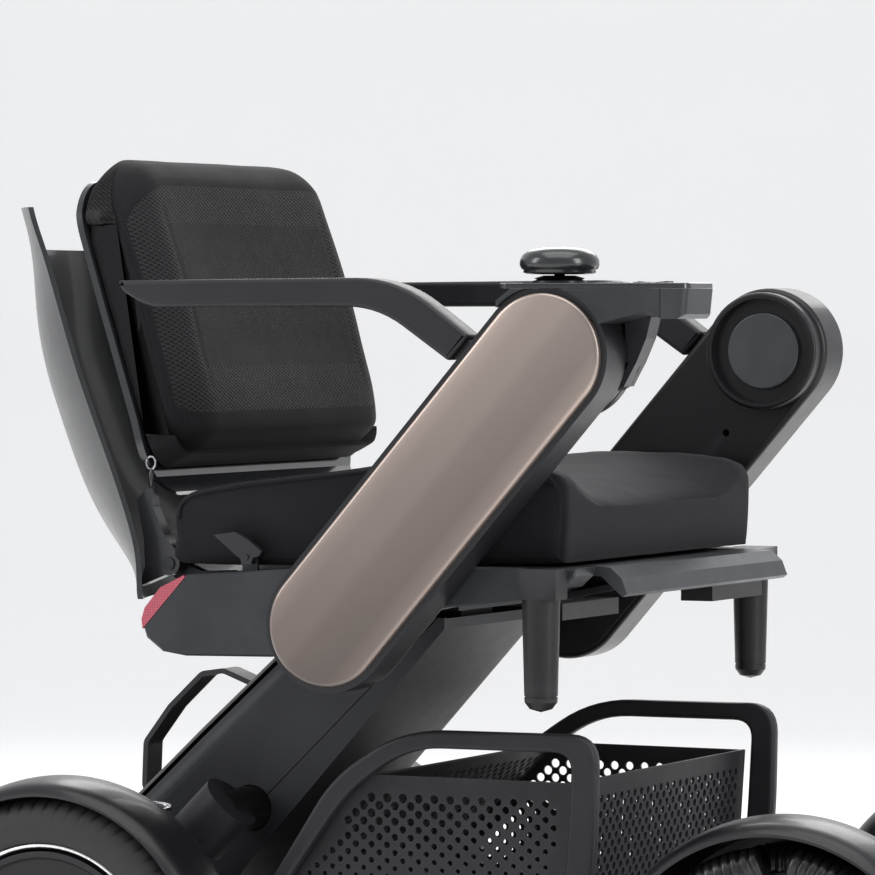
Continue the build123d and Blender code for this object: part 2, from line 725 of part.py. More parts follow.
# =========================================================================
# Controller on the right arm
# =========================================================================
PAD_TOP = 659.0
with BuildPart() as controller_housing:
    with BuildSketch(side(192)):
        with BuildLine():
            Polyline((374, 646), (386, 654.8), (505.5, 654.8), (505.5, 633), (494, 638), (455, 628.5), (444, 612),
                     (436, 600), (384, 600), (374, 620), close=True)
        make_face()
    extrude(amount=58.5)
    with BuildSketch(side(POD_IN - 0.3)):
        with Locations(POD_HI):
            Circle(POD_R + 0.3)
    extrude(amount=60, mode=Mode.SUBTRACT)
    with BuildSketch(side(180)):
        with Locations(POD_HI):
            Circle(48.2)
    extrude(amount=30, mode=Mode.SUBTRACT)
    fillet(controller_housing.edges().filter_by(Axis.Z).filter_by(lambda e: e.center().X > 500 - X0), 1)
    with BuildSketch(Plane(origin=(STICK[0] - X0, -STICK[1], 626), x_dir=(1, 0, 0), z_dir=(0, 0, 1))):
        Circle(17.5)
    extrude(amount=60, mode=Mode.SUBTRACT)

with BuildPart() as controller_nose:
    with BuildSketch(side(192)):
        with BuildLine():
            Polyline((505.9, 654.8), (526, 654.8), (524, 636), (519, 632.5), (505.9, 632.5), close=True)
        make_face()
    extrude(amount=58.5)
    fillet(controller_nose.edges().filter_by(lambda e: e.center().X > 522 - X0 and abs((e % 0.5).Z) > 0.8), 7)

BUTTONS = {"power": (458.0, 222.0, 7.5), "horn": (484.0, 236.0, 5.5)}
ROCKER = (486.0, 211.0, 24.0, 11.0)
with BuildPart() as controller_top:
    with BuildSketch(Plane(origin=(-X0, 0, 655), x_dir=(1, 0, 0), z_dir=(0, 0, 1))):
        with Locations((450.5, -221.25)):
            RectangleRounded(152, 58.5, 9)
        with Locations((STICK[0], -STICK[1])):
            Circle(17, mode=Mode.SUBTRACT)
        with Locations((BUTTONS["power"][0], -BUTTONS["power"][1])):
            Circle(BUTTONS["power"][2] + 0.3, mode=Mode.SUBTRACT)
        with Locations((BUTTONS["horn"][0], -BUTTONS["horn"][1])):
            Circle(BUTTONS["horn"][2] + 0.3, mode=Mode.SUBTRACT)
        with Locations((ROCKER[0], -ROCKER[1])):
            Rectangle(ROCKER[2] + 0.6, ROCKER[3] + 0.6, mode=Mode.SUBTRACT)
    extrude(amount=PAD_TOP - 655)
    fillet(controller_top.faces().sort_by(Axis.Z)[-1].outer_wire().edges(), 1.2)

with BuildPart() as power_button:
    with BuildSketch(Plane(origin=(BUTTONS["power"][0] - X0, -BUTTONS["power"][1], 656.6), x_dir=(1, 0, 0),
                           z_dir=(0, 0, 1))):
        Circle(BUTTONS["power"][2])
    extrude(amount=3.2)
    fillet(power_button.faces().sort_by(Axis.Z)[-1].edges(), 0.6)
with BuildPart() as horn_button:
    with BuildSketch(Plane(origin=(BUTTONS["horn"][0] - X0, -BUTTONS["horn"][1], 656.6), x_dir=(1, 0, 0),
                           z_dir=(0, 0, 1))):
        Circle(BUTTONS["horn"][2])
    extrude(amount=3.2)
    fillet(horn_button.faces().sort_by(Axis.Z)[-1].edges(), 0.6)
with BuildPart() as speed_rocker:
    with BuildSketch(Plane(origin=(-X0, -ROCKER[1] - ROCKER[3] / 2, 0), x_dir=(1, 0, 0), z_dir=(0, -1, 0))):
        with BuildLine():
            Polyline((ROCKER[0] - 12, 657.2), (ROCKER[0], 656.4), (ROCKER[0] + 12, 657.2), (ROCKER[0] + 12, 660.4),
                     (ROCKER[0], 659.4), (ROCKER[0] - 12, 660.4), close=True)
        make_face()
    extrude(amount=-ROCKER[3])

with BuildPart() as controller_mount:
    with BuildSketch(side(191.8)):
        with Locations(POD_HI):
            Circle(47.5)
    extrude(amount=-8)
    with BuildSketch(side(191.5)):
        with Locations(POD_HI):
            Circle(42.3)
    extrude(amount=9.3)
    with BuildSketch(side(192.3)):
        with BuildLine():
            Polyline((459.2, 600), (459, 628.9), (480, 633.9), (476, 618), (468, 600), (458, 582), (452, 579),
                     (461.8, 600), close=True)
        make_face()
    extrude(amount=13)
    with BuildSketch(side(186)):
        with BuildLine():
            Polyline((436, 590), (436, 627), (459, 628.9), (480, 633.9), (476, 618), (468, 600), (458, 582),
                     close=True)
        make_face()
    extrude(amount=5.8)
    with BuildSketch(side(191)):
        with BuildLine():
            Polyline((461, 604), (459, 628.9), (480, 633.9), (476, 618), (468, 600), (464, 592), close=True)
        make_face()
    extrude(amount=3)

# joystick: cross, boot and knob
SX, SY, SZ = STICK[0] - X0, -STICK[1], STICK[2]
with BuildPart() as joystick_cross:
    with BuildSketch(Plane(origin=(SX, SY, SZ - 2), x_dir=(1, 0, 0), z_dir=(0, 0, 1))):
        Circle(10)
        Circle(6.5, mode=Mode.SUBTRACT)
    extrude(amount=4)
    with BuildSketch(Plane(origin=(SX + 9.5, SY, SZ), x_dir=(0, 1, 0), z_dir=(1, 0, 0))):
        Circle(1.5)
    extrude(amount=7.3)
    with BuildSketch(Plane(origin=(SX - 9.5, SY, SZ), x_dir=(0, 1, 0), z_dir=(-1, 0, 0))):
        Circle(1.5)
    extrude(amount=7.3)

with BuildPart() as joystick_knob:
    with BuildSketch(Plane(origin=(SX, SY, 0), x_dir=(1, 0, 0), z_dir=(0, -1, 0))):
        with BuildLine():
            Polyline((0, SZ - 3), (4, SZ - 3), (4, 665.5), (22, 665.5), (28, 666.5), (30, 669.5), (28.5, 675.5),
                     (21, 682), (10, 685.4), (0, 686), close=True)
        make_face()
    revolve(axis=Axis((SX, SY, 0), (0, 0, 1)))

with BuildPart() as joystick_boot:
    with BuildSketch(Plane(origin=(SX, SY, 0), x_dir=(1, 0, 0), z_dir=(0, -1, 0))):
        with BuildLine():
            Polyline((20.2, 659.2), (20.2, 660.6), (17, 661.4), (19, 662.6), (15.5, 663.6), (12, 664.6), (5, 664.6),
                     (5, 663.4), (11, 663), (13, 661.4), (12, 659.2), close=True)
        make_face()
    revolve(axis=Axis((SX, SY, 0), (0, 0, 1)))

# =========================================================================
# Levers
# =========================================================================
with BuildPart() as arm_lever_right:
    with BuildSketch(side(196)):
        with BuildLine():
            Polyline((115, 466), (133, 468.6), (144, 463), (156, 454), (154, 450.5), (147, 448.5), (147.5, 444),
                     (138.5, 444), (138.5, 448), (134, 450.5), (121, 461), close=True)
        make_face()
        with Locations((143, 449.5)):
            Circle(5.5)
        with Locations((143, 449.5)):
            Circle(2.05, mode=Mode.SUBTRACT)
    extrude(amount=6)
with BuildPart() as arm_lever_left:
    mirror(arm_lever_right.part, about=Plane.XZ)
with BuildPart() as lever_brackets:
    with BuildSketch(side(192.2)):
        with Locations((143, 444.9)):
            Rectangle(13, 15.8)
    extrude(amount=3.4)
    with BuildSketch(side(192.2)):
        with Locations((143, 449.5)):
            Circle(2)
    extrude(amount=11)
    mirror(about=Plane.XZ)

with BuildPart() as brake_lever:
    with BuildSketch(side(0)):
        with BuildLine():
            Polyline((-52, 128), (-92, 150), (-96, 144), (-56, 120), (-46, 110), (-34, 110), (-34, 121), (-44, 126),
                     close=True)
        make_face()
        with Locations((-40, 115.5)):
            Circle(8)
            Circle(3.05, mode=Mode.SUBTRACT)
    extrude(amount=30, both=True)
with BuildPart() as brake_bracket:
    with BuildSketch(side(31)):
        with Locations((-28, 110)):
            Rectangle(36, 18)
    extrude(amount=6)
    mirror(about=Plane.XZ)
    with BuildSketch(side(0)):
        with Locations((-40, 115.5)):
            Circle(3)
    extrude(amount=37, both=True)
    with BuildSketch(side(0)):
        with Locations((-14, 108)):
            Rectangle(8, 22)
    extrude(amount=37, both=True)


# =========================================================================
# Welded and moulded-in joins
# =========================================================================
with BuildPart() as frame_weldment:
    add(main_frame.part)
    add(spring_carriers.part)
    add(brake_bracket.part)
with BuildPart() as seat_base:
    add(seat_plate.part)
    add(back_hinge_brackets.part)
with BuildPart() as side_rails:
    add(seat_side_rails.part)
    add(lever_brackets.part)
with BuildPart() as armrest_bar_left:
    add(armrest_left.part)
    add(armrest_tube_left.part)
with BuildPart() as armrest_bar_right:
    add(armrest_right.part)
    add(armrest_tube_right.part)

# =========================================================================
# Write every piece
# =========================================================================
PIECES = {
    "rear_tyre_right": rear_tyre_right, "rear_rim_right": rear_rim_right, "rear_hub_cap_right": rear_hub_cap_right,
    "motor_right": motor_right, "swing_arm_right": swing_arm_right, "rear_arch_right": rear_arch_right,
    "spring_right": spring_right, "rear_tyre_left": rear_tyre_left, "rear_rim_left": rear_rim_left,
    "rear_hub_cap_left": rear_hub_cap_left, "motor_left": motor_left, "swing_arm_left": swing_arm_left,
    "rear_arch_left": rear_arch_left, "spring_left": spring_left, "front_hub_right": front_hub_right,
    "front_rollers_right": front_rollers_right, "front_hub_left": front_hub_left,
    "front_rollers_left": front_rollers_left, "front_axles": front_axles, "front_arch_right": front_arch_right,
    "front_arch_left": front_arch_left, "main_frame": frame_weldment,
    "column_rear_cover": column_rear_cover, "column_front_cover": column_front_cover,
    "battery_pack": battery_pack, "battery_handle": battery_handle, "basket_rails": basket_rails,
    "basket_tub": basket_tub, "footrest_stem": footrest_stem, "footplate": footplate,
    "seat_side_rails": side_rails, "reflectors": reflectors, "seat_plate": seat_base,
    "seat_posts": seat_posts, "seat_cushion": seat_cushion,
    "back_plate": back_plate, "back_cushion": back_cushion, "back_shell": back_shell,
    "arm_pivot_pins": arm_pivot_pins, "arm_housing_left": arm_housing_left, "arm_cover_left": arm_cover_left,
    "arm_socket_cap": arm_socket_cap, "arm_housing_right": arm_housing_right, "arm_cover_right": arm_cover_right,
    "armrest_left": armrest_bar_left, "armrest_right": armrest_bar_right, "arm_lever_left": arm_lever_left,
    "arm_lever_right": arm_lever_right, "brake_lever": brake_lever,
    "controller_housing": controller_housing, "controller_nose": controller_nose, "controller_top": controller_top,
    "controller_mount": controller_mount, "power_button": power_button, "horn_button": horn_button,
    "speed_rocker": speed_rocker, "joystick_cross": joystick_cross, "joystick_knob": joystick_knob,
    "joystick_boot": joystick_boot,
}
for piece_name, piece in PIECES.items():
    save(piece, piece_name)
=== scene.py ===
import bpy, bmesh, math
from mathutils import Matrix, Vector, noise
from mathutils.geometry import tessellate_polygon


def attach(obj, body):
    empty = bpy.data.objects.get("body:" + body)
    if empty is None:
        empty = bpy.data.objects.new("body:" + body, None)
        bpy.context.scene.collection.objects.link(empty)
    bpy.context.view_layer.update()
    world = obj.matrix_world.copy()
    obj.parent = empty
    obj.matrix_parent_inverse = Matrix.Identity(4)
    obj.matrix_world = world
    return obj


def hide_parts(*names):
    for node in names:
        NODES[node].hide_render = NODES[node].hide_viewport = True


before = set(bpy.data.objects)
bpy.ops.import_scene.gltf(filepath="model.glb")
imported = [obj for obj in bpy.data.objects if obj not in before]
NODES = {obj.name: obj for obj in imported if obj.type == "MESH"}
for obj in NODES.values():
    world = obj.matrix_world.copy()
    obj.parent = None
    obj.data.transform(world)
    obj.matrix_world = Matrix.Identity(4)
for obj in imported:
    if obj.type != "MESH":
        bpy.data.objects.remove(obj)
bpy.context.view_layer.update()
X0 = 0.3457


def X(x):
    return x / 1000.0 - X0


# ---------------------------------------------------------------- camera
cam_data = bpy.data.cameras.new("camera")
cam_data.lens = 232.0
cam_data.sensor_width = 36.0
cam_data.clip_end = 60
cam = bpy.data.objects.new("camera", cam_data)
bpy.context.scene.collection.objects.link(cam)
cam.location = (2.0792 - X0, -4.0661, 0.6433)
cam.rotation_euler = (math.radians(90 - 1.355), 0, math.radians(24.67))
bpy.context.scene.camera = cam
bpy.context.scene.view_settings.view_transform = "Standard"
bpy.context.scene.view_settings.look = "None"


# ---------------------------------------------------------------- materials
def nodes_of(name):
    m = bpy.data.materials.new(name)
    m.use_nodes = True
    nt = m.node_tree
    b = nt.nodes["Principled BSDF"]
    tc = nt.nodes.new("ShaderNodeTexCoord")
    return m, nt, b, tc


def ramp(nt, fac, lo, hi, p0=0.3, p1=0.7):
    r = nt.nodes.new("ShaderNodeValToRGB")
    r.color_ramp.elements[0].position = p0
    r.color_ramp.elements[1].position = p1
    r.color_ramp.elements[0].color = (*lo, 1)
    r.color_ramp.elements[1].color = (*hi, 1)
    nt.links.new(fac, r.inputs["Fac"])
    return r.outputs["Color"]


def noise_tex(nt, tc, scale, detail=4.0, rough=0.6, stretch=None):
    n = nt.nodes.new("ShaderNodeTexNoise")
    n.inputs["Scale"].default_value = scale
    n.inputs["Detail"].default_value = detail
    n.inputs["Roughness"].default_value = rough
    src = tc.outputs["Object"]
    if stretch:
        mp = nt.nodes.new("ShaderNodeMapping")
        mp.inputs["Scale"].default_value = stretch
        nt.links.new(src, mp.inputs["Vector"])
        src = mp.outputs["Vector"]
    nt.links.new(src, n.inputs["Vector"])
    return n.outputs["Fac"]


def bump(nt, b, height, strength, dist, prev=None):
    n = nt.nodes.new("ShaderNodeBump")
    n.inputs["Strength"].default_value = strength
    n.inputs["Distance"].default_value = dist
    nt.links.new(height, n.inputs["Height"])
    if prev is not None:
        nt.links.new(prev, n.inputs["Normal"])
    nt.links.new(n.outputs["Normal"], b.inputs["Normal"])
    return n.outputs["Normal"]


def rough_var(nt, b, fac, lo, hi):
    m = nt.nodes.new("ShaderNodeMapRange")
    m.inputs["To Min"].default_value = lo
    m.inputs["To Max"].default_value = hi
    nt.links.new(fac, m.inputs["Value"])
    nt.links.new(m.outputs["Result"], b.inputs["Roughness"])


def moulded(name, col, rough=0.42, grain=2600, grain_h=0.00003, metallic=0.0, coat=0.0, spec=0.5, vary=0.18,
            painted_edge_highlight=True):
    """Satin moulded or coated surface: fine grain, faint mottling, convex edges lightened as a painted highlight."""
    m, nt, b, tc = nodes_of(name)
    lo = tuple(c * (1 - vary) for c in col)
    hi = tuple(c * (1 + vary) for c in col)
    mott = noise_tex(nt, tc, 28, 5)
    color = ramp(nt, mott, lo, hi)
    # painted highlight: a small grey added on convex edges (by pointiness) in place of edge highlights
    if painted_edge_highlight:
        g = nt.nodes.new("ShaderNodeNewGeometry")
        edge_highlight_ramp = nt.nodes.new("ShaderNodeValToRGB")
        edge_highlight_ramp.color_ramp.elements[0].position = 0.52
        edge_highlight_ramp.color_ramp.elements[1].position = 0.66
        nt.links.new(g.outputs["Pointiness"], edge_highlight_ramp.inputs["Fac"])
        mx = nt.nodes.new("ShaderNodeMixRGB")
        mx.blend_type = "ADD"
        mx.inputs["Color2"].default_value = (0.02, 0.02, 0.023, 1)
        nt.links.new(edge_highlight_ramp.outputs["Color"], mx.inputs["Fac"])
        nt.links.new(color, mx.inputs["Color1"])
        color = mx.outputs["Color"]
    nt.links.new(color, b.inputs["Base Color"])
    b.inputs["Metallic"].default_value = metallic
    b.inputs["Specular IOR Level"].default_value = spec
    b.inputs["Coat Weight"].default_value = coat
    b.inputs["Coat Roughness"].default_value = 0.08
    smear = noise_tex(nt, tc, 60, 6, 0.7)
    rough_var(nt, b, smear, rough - 0.07, rough + 0.09)
    fine = noise_tex(nt, tc, grain, 2)
    bump(nt, b, fine, 0.35, grain_h)
    return m


def bronze():
    m, nt, b, tc = nodes_of("bronze_paint")
    flake = nt.nodes.new("ShaderNodeTexVoronoi")
    flake.inputs["Scale"].default_value = 4200
    nt.links.new(tc.outputs["Object"], flake.inputs["Vector"])
    c1 = ramp(nt, flake.outputs["Distance"], (0.20, 0.165, 0.148), (0.27, 0.225, 0.20), 0.1, 0.9)
    mott = noise_tex(nt, tc, 14, 3)
    mx = nt.nodes.new("ShaderNodeMixRGB")
    mx.blend_type = "MULTIPLY"
    mx.inputs["Fac"].default_value = 0.25
    nt.links.new(c1, mx.inputs["Color1"])
    nt.links.new(ramp(nt, mott, (0.82, 0.82, 0.82), (1, 1, 1)), mx.inputs["Color2"])
    # painted highlight and shade: across the pod, bright bands at both long edges with darker bands inside them; along
    # the pod, darker at the lower end and lighter at the upper end
    dots = []
    for vec in ((-0.7542, 0, 0.6566), (0.6566, 0, 0.7542)):
        sub = nt.nodes.new("ShaderNodeVectorMath"); sub.operation = "SUBTRACT"
        sub.inputs[1].default_value = (0.2333 - X0, 0, 0.4013)
        nt.links.new(tc.outputs["Object"], sub.inputs[0])
        dp = nt.nodes.new("ShaderNodeVectorMath"); dp.operation = "DOT_PRODUCT"
        dp.inputs[1].default_value = vec
        nt.links.new(sub.outputs["Vector"], dp.inputs[0])
        dots.append(dp.outputs["Value"])
    across = nt.nodes.new("ShaderNodeMapRange")
    across.inputs["From Min"].default_value = -0.0465
    across.inputs["From Max"].default_value = 0.0465
    nt.links.new(dots[0], across.inputs["Value"])
    painted_highlight_bands = nt.nodes.new("ShaderNodeValToRGB")
    el = painted_highlight_bands.color_ramp.elements
    el[0].position = 0.0; el[0].color = (1.7, 1.65, 1.6, 1)
    el[1].position = 1.0; el[1].color = (2.3, 2.25, 2.2, 1)
    for p, g in ((0.05, 1.1), (0.2, 0.82), (0.5, 0.95), (0.58, 1.12), (0.8, 1.2), (0.93, 1.5)):
        e = el.new(p); e.color = (g, g, g, 1)
    nt.links.new(across.outputs["Result"], painted_highlight_bands.inputs["Fac"])
    along = nt.nodes.new("ShaderNodeMapRange")
    along.inputs["From Min"].default_value = -0.05
    along.inputs["From Max"].default_value = 0.32
    nt.links.new(dots[1], along.inputs["Value"])
    painted_shade_gradient = ramp(nt, along.outputs["Result"], (0.62, 0.6, 0.6), (1.35, 1.33, 1.32), 0.0, 1.0)
    # multiply the painted highlight bands and the painted shade gradient into the paint colour
    col = mx.outputs["Color"]
    for painted_light in (painted_highlight_bands.outputs["Color"], painted_shade_gradient):
        m2 = nt.nodes.new("ShaderNodeMixRGB")
        m2.blend_type = "MULTIPLY"
        m2.inputs["Fac"].default_value = 1.0
        nt.links.new(col, m2.inputs["Color1"])
        nt.links.new(painted_light, m2.inputs["Color2"])
        col = m2.outputs["Color"]
    nt.links.new(col, b.inputs["Base Color"])
    b.inputs["Metallic"].default_value = 0.85
    b.inputs["Coat Weight"].default_value = 0.8
    b.inputs["Coat Roughness"].default_value = 0.06
    rough_var(nt, b, flake.outputs["Distance"], 0.34, 0.44)
    bump(nt, b, flake.outputs["Distance"], 0.15, 0.00002)
    return m


def weave(name, col, scale=900, sheen=0.3, depth=0.00018, rough=0.85):
    """Plain woven cloth: two crossed thread sets with slubs."""
    m, nt, b, tc = nodes_of(name)
    outs = []
    for rot in ((0, 0, 0), (0, math.pi / 2, math.pi / 2)):
        mp = nt.nodes.new("ShaderNodeMapping")
        mp.inputs["Rotation"].default_value = rot
        nt.links.new(tc.outputs["Object"], mp.inputs["Vector"])
        w = nt.nodes.new("ShaderNodeTexWave")
        w.bands_direction = "DIAGONAL" if rot[1] == 0 else "X"
        w.inputs["Scale"].default_value = scale / 6.283 * 1.0
        w.inputs["Distortion"].default_value = 0.6
        w.inputs["Detail"].default_value = 1.0
        nt.links.new(mp.outputs["Vector"], w.inputs["Vector"])
        outs.append(w.outputs["Fac"])
    mul = nt.nodes.new("ShaderNodeMath")
    mul.operation = "MULTIPLY"
    nt.links.new(outs[0], mul.inputs[0])
    nt.links.new(outs[1], mul.inputs[1])
    mott = noise_tex(nt, tc, 55, 6, 0.7)
    c = ramp(nt, mott, tuple(v * 0.75 for v in col), tuple(v * 1.25 for v in col))
    mx = nt.nodes.new("ShaderNodeMixRGB")
    mx.blend_type = "MULTIPLY"
    mx.inputs["Fac"].default_value = 0.55
    nt.links.new(c, mx.inputs["Color1"])
    nt.links.new(ramp(nt, mul.outputs["Value"], (0.45, 0.45, 0.47), (1.25, 1.25, 1.28), 0.0, 0.8), mx.inputs["Color2"])
    nt.links.new(mx.outputs["Color"], b.inputs["Base Color"])
    rough_var(nt, b, mott, rough - 0.08, rough + 0.08)
    b.inputs["Sheen Weight"].default_value = sheen
    b.inputs["Sheen Roughness"].default_value = 0.45
    b.inputs["Specular IOR Level"].default_value = 0.25
    n1 = bump(nt, b, mul.outputs["Value"], 0.6, depth)
    big = noise_tex(nt, tc, 22, 4, 0.6)
    bump(nt, b, big, 0.35, 0.0012, n1)
    return m


def spacer(name, col, cell=0.0042, depth=0.0008, axes=(1, 2), tall=0.6, shade=0.25, sheen=0.15):
    """Knitted spacer mesh: staggered rounded holes across the two given axes."""
    m, nt, b, tc = nodes_of(name)
    sep = nt.nodes.new("ShaderNodeSeparateXYZ")
    nt.links.new(tc.outputs["Object"], sep.inputs["Vector"])
    waves = []
    for sgn in (1, -1):
        u = nt.nodes.new("ShaderNodeMath"); u.operation = "MULTIPLY"
        u.inputs[1].default_value = math.pi / cell
        nt.links.new(sep.outputs[axes[0]], u.inputs[0])
        v = nt.nodes.new("ShaderNodeMath"); v.operation = "MULTIPLY_ADD"
        v.inputs[1].default_value = sgn * math.pi / (cell * tall)
        nt.links.new(sep.outputs[axes[1]], v.inputs[0])
        nt.links.new(u.outputs[0], v.inputs[2])
        s = nt.nodes.new("ShaderNodeMath"); s.operation = "SINE"
        nt.links.new(v.outputs[0], s.inputs[0])
        a = nt.nodes.new("ShaderNodeMath"); a.operation = "ABSOLUTE"
        nt.links.new(s.outputs[0], a.inputs[0])
        waves.append(a.outputs[0])
    mul = nt.nodes.new("ShaderNodeMath"); mul.operation = "MULTIPLY"
    nt.links.new(waves[0], mul.inputs[0]); nt.links.new(waves[1], mul.inputs[1])
    inv = nt.nodes.new("ShaderNodeMath"); inv.operation = "SUBTRACT"
    inv.inputs[0].default_value = 1.0
    nt.links.new(mul.outputs[0], inv.inputs[1])
    dark = tuple(c * shade for c in col)
    nt.links.new(ramp(nt, inv.outputs[0], dark, col, 0.25, 0.62), b.inputs["Base Color"])
    mott = noise_tex(nt, tc, 70, 4)
    rough_var(nt, b, mott, 0.7, 0.9)
    b.inputs["Sheen Weight"].default_value = sheen
    b.inputs["Specular IOR Level"].default_value = 0.3
    n1 = bump(nt, b, inv.outputs[0], 0.9, depth)
    bump(nt, b, noise_tex(nt, tc, 25, 3), 0.3, 0.001, n1)
    return m


def rubber(name, col, rough=0.62):
    m, nt, b, tc = nodes_of(name)
    mott = noise_tex(nt, tc, 90, 8, 0.75)
    nt.links.new(ramp(nt, mott, tuple(c * 0.7 for c in col), tuple(c * 1.5 for c in col), 0.3, 0.75),
                 b.inputs["Base Color"])
    rough_var(nt, b, mott, rough - 0.12, rough + 0.12)
    bump(nt, b, noise_tex(nt, tc, 1400, 3), 0.3, 0.00008)
    return m


def steel(name, col, rough=0.28):
    m, nt, b, tc = nodes_of(name)
    s = noise_tex(nt, tc, 500, 3, 0.6, (1, 1, 0.04))
    nt.links.new(ramp(nt, s, tuple(c * 0.8 for c in col), tuple(min(1, c * 1.15) for c in col)), b.inputs["Base Color"])
    b.inputs["Metallic"].default_value = 1.0
    rough_var(nt, b, s, rough - 0.08, rough + 0.1)
    bump(nt, b, s, 0.15, 0.00003)
    return m


def prism_red():
    m, nt, b, tc = nodes_of("reflector_red")
    v = nt.nodes.new("ShaderNodeTexVoronoi")
    v.inputs["Scale"].default_value = 480
    v.inputs["Randomness"].default_value = 0.05
    nt.links.new(tc.outputs["Object"], v.inputs["Vector"])
    nt.links.new(ramp(nt, v.outputs["Distance"], (0.62, 0.13, 0.17), (0.30, 0.02, 0.045), 0.1, 0.6),
                 b.inputs["Base Color"])
    b.inputs["Coat Weight"].default_value = 1.0
    b.inputs["Coat Roughness"].default_value = 0.05
    rough_var(nt, b, v.outputs["Distance"], 0.2, 0.4)
    bump(nt, b, v.outputs["Distance"], 0.5, 0.0004)
    return m


M = {
    "housing": moulded("housing_black", (0.006, 0.006, 0.007), 0.36, coat=0.1, spec=0.35),
    "arch": moulded("arch_black", (0.006, 0.006, 0.007), 0.34, coat=0.12, spec=0.35),
    "frame": moulded("frame_black", (0.005, 0.005, 0.006), 0.5, spec=0.25),
    "column": moulded("column_grey", (0.022, 0.023, 0.025), 0.42, metallic=0.3, spec=0.35),
    "rail": moulded("rail_graphite", (0.030, 0.032, 0.035), 0.38, metallic=0.4, spec=0.35),
    "armrest": moulded("armrest_charcoal", (0.014, 0.014, 0.016), 0.42, spec=0.35),
    "controller": moulded("controller_graphite", (0.028, 0.030, 0.033), 0.36, metallic=0.35, spec=0.35),
    "gloss": moulded("gloss_black", (0.006, 0.007, 0.008), 0.2, grain_h=0.00001, coat=0.7),
    "knob": moulded("knob_charcoal", (0.010, 0.011, 0.012), 0.27, grain_h=0.00002, coat=0.4),
    "back_shell": moulded("back_shell_grey", (0.010, 0.011, 0.012), 0.3, coat=0.25, grain_h=0.00001),
    "basket": moulded("basket_charcoal", (0.015, 0.015, 0.017), 0.44, spec=0.3),
    "cap": moulded("cap_grey", (0.050, 0.054, 0.058), 0.3, metallic=0.3, coat=0.3),
    "battery": moulded("battery_black", (0.02, 0.02, 0.022), 0.5),
    "motor": moulded("motor_casting", (0.10, 0.10, 0.105), 0.5, metallic=0.8, grain=900, grain_h=0.0001),
    "post": moulded("post_charcoal", (0.009, 0.009, 0.010), 0.4, spec=0.35),
    "bronze": bronze(),
    "seat": weave("seat_cloth", (0.010, 0.0095, 0.012), sheen=0.06),
    "gusset": weave("gusset_cloth", (0.007, 0.0065, 0.008), sheen=0.05),
    "mesh_fine": spacer("mesh_fine", (0.009, 0.009, 0.010), 0.0036, 0.0006, tall=0.55, sheen=0.03),
    "mesh_wide": spacer("mesh_wide", (0.015, 0.015, 0.017), 0.0062, 0.0012, tall=0.6, shade=0.1, sheen=0.04),
    "tyre": rubber("tyre_rubber", (0.016, 0.016, 0.017)),
    "roller": rubber("roller_rubber", (0.009, 0.009, 0.010), 0.3),
    "steel": steel("machined_steel", (0.45, 0.45, 0.46)),
    "spring": steel("spring_bright", (0.5, 0.5, 0.52), 0.24),
    "trim": steel("trim_silver", (0.85, 0.85, 0.86), 0.3),
    "red": prism_red(),
}

LOOK = {"rim": "arch", "front_axles": "steel", "main_frame": "frame", "column_rear_cover": "column",
        "column_front_cover": "column", "battery_pack": "battery", "battery_handle": "armrest",
        "basket_rails": "basket", "basket_tub": "basket", "footrest_stem": "frame", "footplate": "rail",
        "seat_side_rails": "rail", "reflectors": "red", "seat_plate": "rail", "seat_posts": "post",
        "seat_cushion": "seat", "back_plate": "gloss", "back_cushion": "gusset", "back_shell": "back_shell",
        "arm_pivot_pins": "steel", "arm_socket_cap": "cap", "controller_housing": "controller",
        "controller_nose": "controller", "controller_top": "gloss", "controller_mount": "housing",
        "power_button": "gloss", "horn_button": "gloss", "speed_rocker": "gloss", "joystick_cross": "steel",
        "joystick_knob": "knob", "joystick_boot": "roller", "brake_lever": "housing"}
for s in ("right", "left"):
    LOOK.update({"rear_tyre_" + s: "tyre", "rear_rim_" + s: "arch", "rear_hub_cap_" + s: "housing",
                 "motor_" + s: "motor", "swing_arm_" + s: "frame", "rear_arch_" + s: "arch",
                 "spring_" + s: "spring", "front_hub_" + s: "arch", "front_rollers_" + s: "roller",
                 "front_arch_" + s: "arch", "arm_housing_" + s: "housing", "arm_cover_" + s: "bronze",
                 "armrest_" + s: "armrest", "arm_lever_" + s: "housing"})
for n, o in NODES.items():
    o.data.materials.clear()
    o.data.materials.append(M[LOOK[n]])


# ---------------------------------------------------------------- mesh helpers
def new_obj(name, verts, faces, mats, idx=None, smooth=True, body=None):
    me = bpy.data.meshes.new(name)
    me.from_pydata([tuple(v) for v in verts], [], faces)
    for m in mats:
        me.materials.append(M[m])
    if idx:
        me.polygons.foreach_set("material_index", idx)
    me.polygons.foreach_set("use_smooth", [smooth] * len(me.polygons))
    me.update()
    bm = bmesh.new(); bm.from_mesh(me)
    bmesh.ops.recalc_face_normals(bm, faces=bm.faces)
    bm.to_mesh(me); bm.free()
    o = bpy.data.objects.new(name, me)
    bpy.context.scene.collection.objects.link(o)
    if body:
        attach(o, body)
    return o


def rings_mesh(rings, closed=True, cap0=True, cap1=True):
    """Faces joining equal rings of points; returns verts, faces, ring index of each face."""
    n = len(rings[0])
    verts = [p for r in rings for p in r]
    faces, tag = [], []
    for i in range(len(rings) - 1):
        for j in range(n if closed else n - 1):
            k = (j + 1) % n
            faces.append((i * n + j, i * n + k, (i + 1) * n + k, (i + 1) * n + j))
            tag.append(i)
    if cap0:
        faces.append(tuple(range(n))[::-1]); tag.append(0)
    if cap1:
        b = (len(rings) - 1) * n
        faces.append(tuple(b + j for j in range(n))); tag.append(len(rings) - 2)
    return verts, faces, tag


